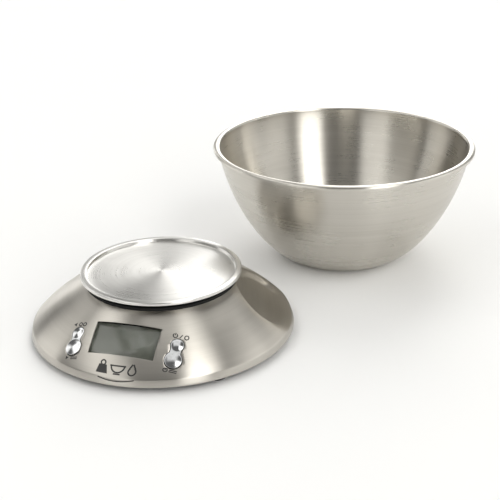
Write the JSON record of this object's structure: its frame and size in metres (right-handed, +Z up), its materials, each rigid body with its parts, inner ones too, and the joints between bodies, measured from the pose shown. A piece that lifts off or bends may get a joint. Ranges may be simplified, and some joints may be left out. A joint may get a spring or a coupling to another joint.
{
  "type": "kitchen scale",
  "caption": "Digital kitchen scale: round brushed-steel base with a tilted display, rocker buttons and a finger scoop, dished weighing tray, and a separate mixing bowl.",
  "frame": {"origin": "centre of the flat weighing face on top of the tray; the table is 47.6 mm below it", "axes": "+Z up out of the weighing face; -Y towards the user, where the display faces; +X to the user's right, so the finger scoop is on the +X side; the bowl stands on the same table at +X +Y"},
  "size_m": [0.3133, 0.3903, 0.0998],
  "materials": {
    "shell_steel": "spun-brushed satin stainless steel, warm grey, fine lines round the axis",
    "tray_steel": "light spun-brushed stainless steel with a bright rim",
    "bowl_steel": "spun stainless steel, satin outside with faint rings, brighter inside",
    "black_plastic": "fine matt moulded black",
    "pan_plastic": "lightly textured moulded black",
    "chrome_plating": "bright chrome plating on moulded plastic",
    "clear_lens": "clear polished acrylic",
    "lcd_panel": "grey-green unlit display, blank",
    "contact_rubber": "striped conductive rubber",
    "board_laminate": "green solder mask",
    "chip_resin": "glossy black resin drop",
    "plated_steel": "bright zinc or nickel plate",
    "cell_aluminium": "machined, clear anodised",
    "white_silicone": "white potting silicone",
    "wire_insulation": "soft PVC insulation, red, black and grey",
    "battery_sleeve": "plain blue sleeve over a steel can",
    "foot_rubber": "soft black rubber",
    "blank_label": "blank matt film"
  },
  "bodies": {
    "base": {"top_shell": "shell_steel", "collar": "black_plastic", "base_pan": "pan_plastic", "battery_1": "battery_sleeve", "battery_2": "battery_sleeve", "battery_contacts": "plated_steel", "battery_wires": "wire_insulation", "foot_front_left": "foot_rubber", "foot_front_right": "foot_rubber", "foot_rear_left": "foot_rubber", "foot_rear_right": "foot_rubber", "pan_screws": "plated_steel", "rating_label": "blank_label", "load_cell": "cell_aluminium", "gauge_potting": "white_silicone", "gauge_cable": "wire_insulation", "cell_spacer_lower": "plated_steel", "cell_screws_lower": "plated_steel", "overload_stop_screw": "plated_steel", "window_lens": "clear_lens", "lcd_glass": "lcd_panel", "lcd_contact_strips": "contact_rubber", "display_frame": "black_plastic", "main_board": "board_laminate", "control_chip": "chip_resin", "key_switches": "plated_steel", "board_screws": "plated_steel", "rocker_bearings": "black_plastic"},
    "tray": {"weighing_tray": "tray_steel", "platform_carrier": "black_plastic", "cell_spacer_upper": "plated_steel", "cell_screws_upper": "plated_steel"},
    "left_rocker": {"left_button": "chrome_plating"},
    "right_rocker": {"right_button": "chrome_plating"},
    "door": {"battery_door": "pan_plastic"},
    "bowl": {"bowl": "bowl_steel"}
  },
  "joints": [
    {"name": "tray_press", "type": "slide", "parent": "base", "child": "tray", "axis": [0, 0, -1], "range_m": [0, 0.0005], "stiffness_N_per_m": 8000, "springref_m": -0.0002},
    {"name": "left_rocker_tilt", "type": "hinge", "parent": "base", "child": "left_rocker", "pos_m": [-0.03673, -0.07504, -0.02658], "axis": [0.9655, -0.1419, 0.2185], "range_deg": [-2.5, 2.5], "stiffness_Nm_per_rad": 0.05},
    {"name": "right_rocker_tilt", "type": "hinge", "parent": "base", "child": "right_rocker", "pos_m": [0.03673, -0.07504, -0.02658], "axis": [0.9655, 0.1419, -0.2185], "range_deg": [-2.5, 2.5], "stiffness_Nm_per_rad": 0.05},
    {"name": "battery_door_slide", "type": "slide", "parent": "base", "child": "door", "axis": [0, 1, 0], "range_m": [0, 0.01]},
    {"name": "bowl_lift", "type": "slide", "parent": "base", "child": "bowl", "axis": [0, 0, 1], "range_m": [0, 0.1]}
  ]
}
